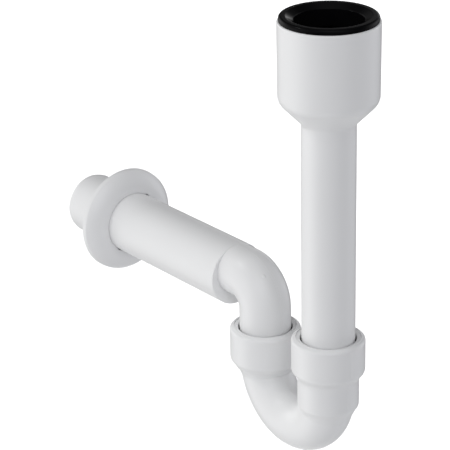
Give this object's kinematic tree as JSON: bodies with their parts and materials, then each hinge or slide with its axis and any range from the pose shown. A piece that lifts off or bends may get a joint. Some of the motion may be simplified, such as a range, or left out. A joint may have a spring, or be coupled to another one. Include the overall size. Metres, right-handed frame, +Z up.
{
  "type": "p trap",
  "caption": "White plastic P trap: sleeved inlet cup on a long dip pipe, push-fit U-bend, outlet elbow into a larger wall tube, and a domed wall rosette.",
  "frame": {"origin": "on the inlet axis, in the plane of the inlet cup's rim", "axes": "+Z up along the inlet and the dip pipe, +Y along the wall tube towards the wall, +X to the right of a viewer who faces the wall"},
  "size_m": [0.0864, 0.3451, 0.3586],
  "materials": {
    "white_plastic": "alpine white moulded polypropylene, satin gloss",
    "black_rubber": "black EPDM rubber, slightly shiny"
  },
  "bodies": {
    "inlet": {"inlet_cup": "white_plastic", "dip_pipe": "white_plastic", "inlet_sleeve": "black_rubber"},
    "inlet_seal": {"inlet_seal": "black_rubber"},
    "u_bend": {"u_bend": "white_plastic", "inlet_retaining_ring": "white_plastic", "outlet_retaining_ring": "white_plastic"},
    "outlet_seal": {"outlet_seal": "black_rubber"},
    "outlet": {"outlet_elbow": "white_plastic", "wall_tube": "white_plastic"},
    "rosette": {"wall_rosette": "white_plastic"}
  },
  "joints": [
    {"name": "trap_height", "type": "slide", "parent": "inlet", "child": "inlet_seal", "axis": [0, 0, 1], "range_m": [-0.02, 0.013]},
    {"name": "trap_swivel", "type": "hinge", "parent": "inlet_seal", "child": "u_bend", "pos_m": [0, 0, -0.2531], "axis": [0, 0, 1], "continuous": true},
    {"name": "outlet_swivel", "type": "hinge", "parent": "u_bend", "child": "outlet_seal", "pos_m": [0.00544, 0.07981, -0.2746], "axis": [0, 0, 1], "range_deg": [-94, 86]},
    {"name": "outlet_height", "type": "slide", "parent": "outlet_seal", "child": "outlet", "axis": [0, 0, 1], "range_m": [-0.005, 0.006]},
    {"name": "rosette_slide", "type": "slide", "parent": "outlet", "child": "rosette", "axis": [0, 1, 0], "range_m": [-0.13, 0.04]}
  ]
}
